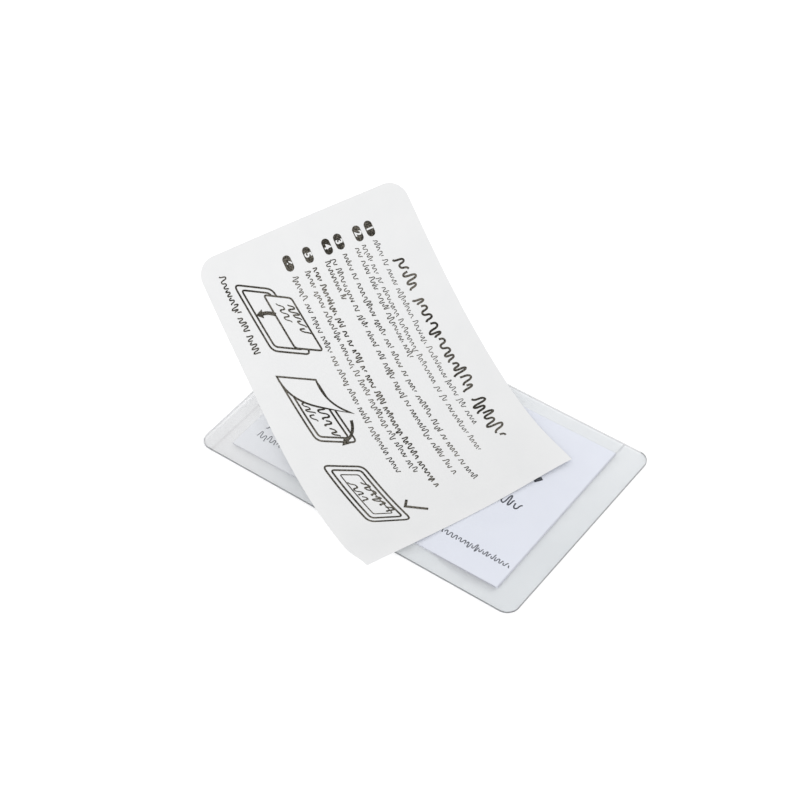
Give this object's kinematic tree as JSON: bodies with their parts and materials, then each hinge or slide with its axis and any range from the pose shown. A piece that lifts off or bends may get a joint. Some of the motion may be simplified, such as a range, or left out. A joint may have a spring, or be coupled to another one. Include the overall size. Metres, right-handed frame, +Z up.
{
  "type": "self-laminating card pouch",
  "caption": "Clear self-laminating pouch holding a paper card between a stiff plate and a face film, with its curled release sheet lying across it.",
  "frame": {"origin": "middle of the back plate's underside, the face that lies on the table", "axes": "+X along the pouch's long side away from the hinge strip, +Y along its short side, +Z up out of the table"},
  "size_m": [0.1131, 0.0873, 0.0416],
  "materials": {
    "clear_plate": "clear, glossy",
    "card_paper": "smooth card",
    "clear_film": "clear, glossy",
    "release_paper": "siliconed, satin"
  },
  "bodies": {
    "root": {"back_plate": "clear_plate", "insert_card": "card_paper", "face_film": "clear_film", "release_sheet": "release_paper"}
  },
  "joints": []
}
